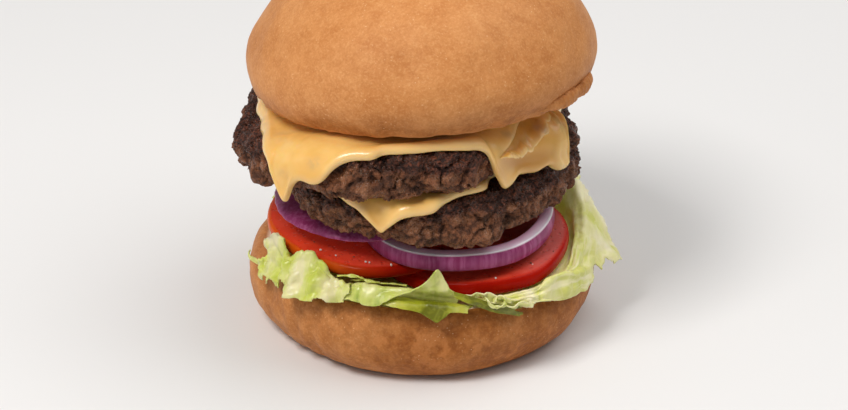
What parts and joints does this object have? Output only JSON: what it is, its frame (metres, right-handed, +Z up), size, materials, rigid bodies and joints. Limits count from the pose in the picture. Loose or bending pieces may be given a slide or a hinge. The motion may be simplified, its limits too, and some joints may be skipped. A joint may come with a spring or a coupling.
{
  "type": "double cheeseburger",
  "caption": "Stacked burger in a round bun, with lettuce, tomato and red onion under two browned patties, each with a melted cheese slice.",
  "frame": {"origin": "on the ground under the middle of the bun, in the flat face the burger rests on", "axes": "+Z up through the stack, -Y towards the front that the picture shows, +X to the right of that front"},
  "size_m": [0.1133, 0.1052, 0.1179],
  "materials": {
    "bun": "baked golden crust with a soft sheen",
    "lettuce": "moist, waxy leaf",
    "tomato": "wet cut flesh with a glossy skin",
    "onion": "glossy purple skin side with paler cut faces",
    "meat": "seared and craggy with a little grease",
    "cheese": "melted, smooth and glossy"
  },
  "bodies": {
    "root": {"bun_heel": "bun", "bun_crown": "bun", "leaf_left": "lettuce", "leaf_front": "lettuce", "leaf_fold": "lettuce", "leaf_blade": "lettuce", "leaf_right": "lettuce", "leaf_back_right": "lettuce", "leaf_back_left": "lettuce", "tomato_right": "tomato", "tomato_left": "tomato", "onion_ring": "onion", "onion_slice": "onion", "patty_lower": "meat", "cheese_lower": "cheese", "patty_upper": "meat", "cheese_upper": "cheese"}
  },
  "joints": []
}
